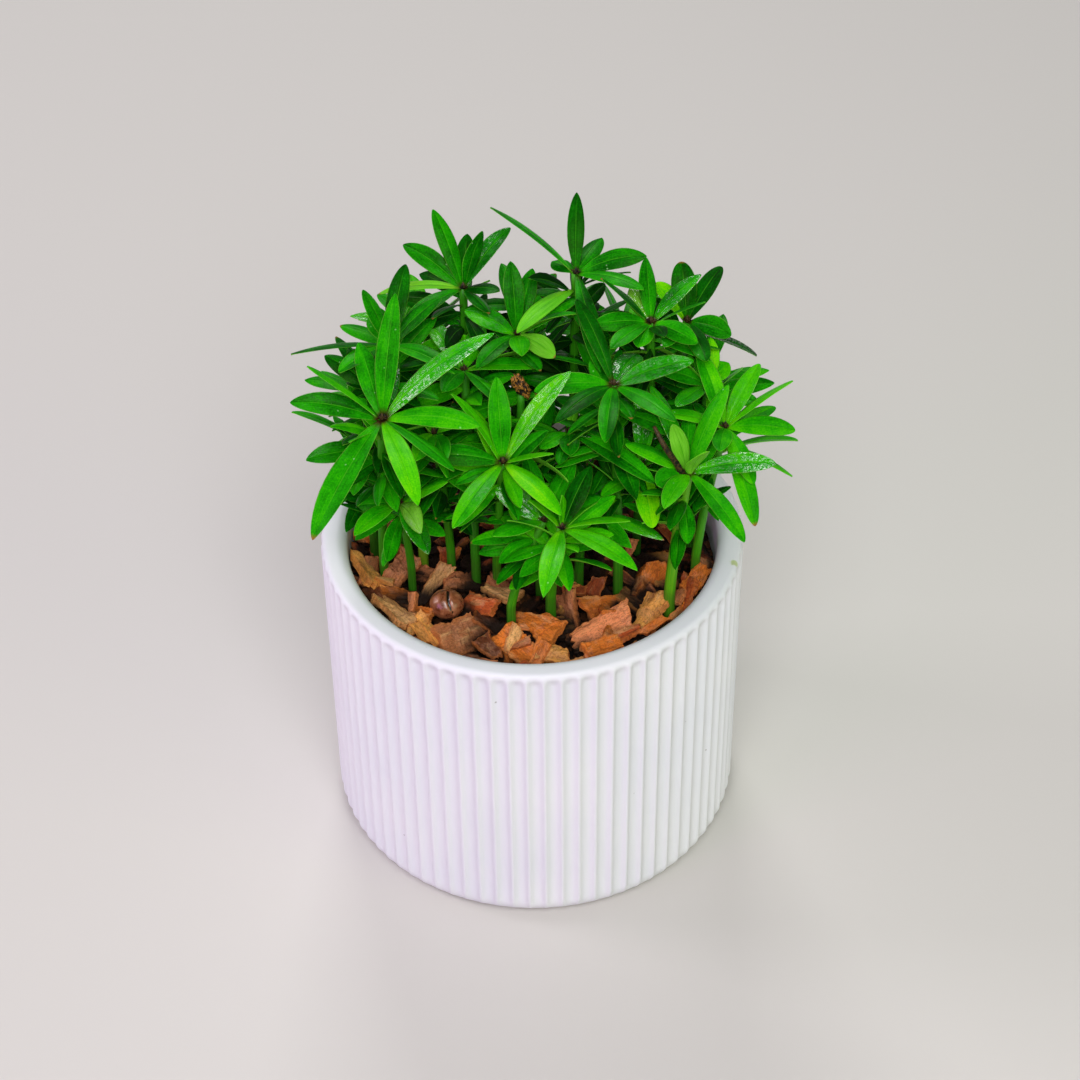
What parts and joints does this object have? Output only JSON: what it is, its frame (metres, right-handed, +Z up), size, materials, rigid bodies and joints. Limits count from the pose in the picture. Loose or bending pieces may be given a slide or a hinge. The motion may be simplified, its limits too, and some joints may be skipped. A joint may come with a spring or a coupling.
{
  "type": "potted buddhist pine",
  "caption": "Young buddhist pine seedlings growing close together from bark mulch in a round white fluted ceramic pot.",
  "frame": {"origin": "centre of the pot's flat underside, on the surface that it stands on", "axes": "+Z up along the pot's axis, -Y the front that the picture is taken from, +X to the right in the picture"},
  "size_m": [0.1374, 0.1234, 0.1821],
  "materials": {
    "ceramic": "matte",
    "soil": "matte",
    "bark": "matte",
    "seed": "gloss",
    "leaf": "satin"
  },
  "bodies": {
    "root": {"pot": "ceramic", "soil": "soil", "bark_mulch": "bark", "seed": "seed", "seedling_01": "leaf", "seedling_02": "leaf", "seedling_03": "leaf", "seedling_04": "leaf", "seedling_05": "leaf", "seedling_06": "leaf", "seedling_07": "leaf", "seedling_08": "leaf", "seedling_09": "leaf", "seedling_10": "leaf", "seedling_11": "leaf", "seedling_12": "leaf", "seedling_13": "leaf", "seedling_14": "leaf", "seedling_15": "leaf", "seedling_16": "leaf", "seedling_17": "leaf", "seedling_18": "leaf", "seedling_19": "leaf", "seedling_20": "leaf", "seedling_21": "leaf", "seedling_22": "leaf", "seedling_23": "leaf", "seedling_24": "leaf", "seedling_25": "leaf", "seedling_26": "leaf", "seedling_27": "leaf", "seedling_28": "leaf", "seedling_29": "leaf", "sprout": "leaf"}
  },
  "joints": []
}
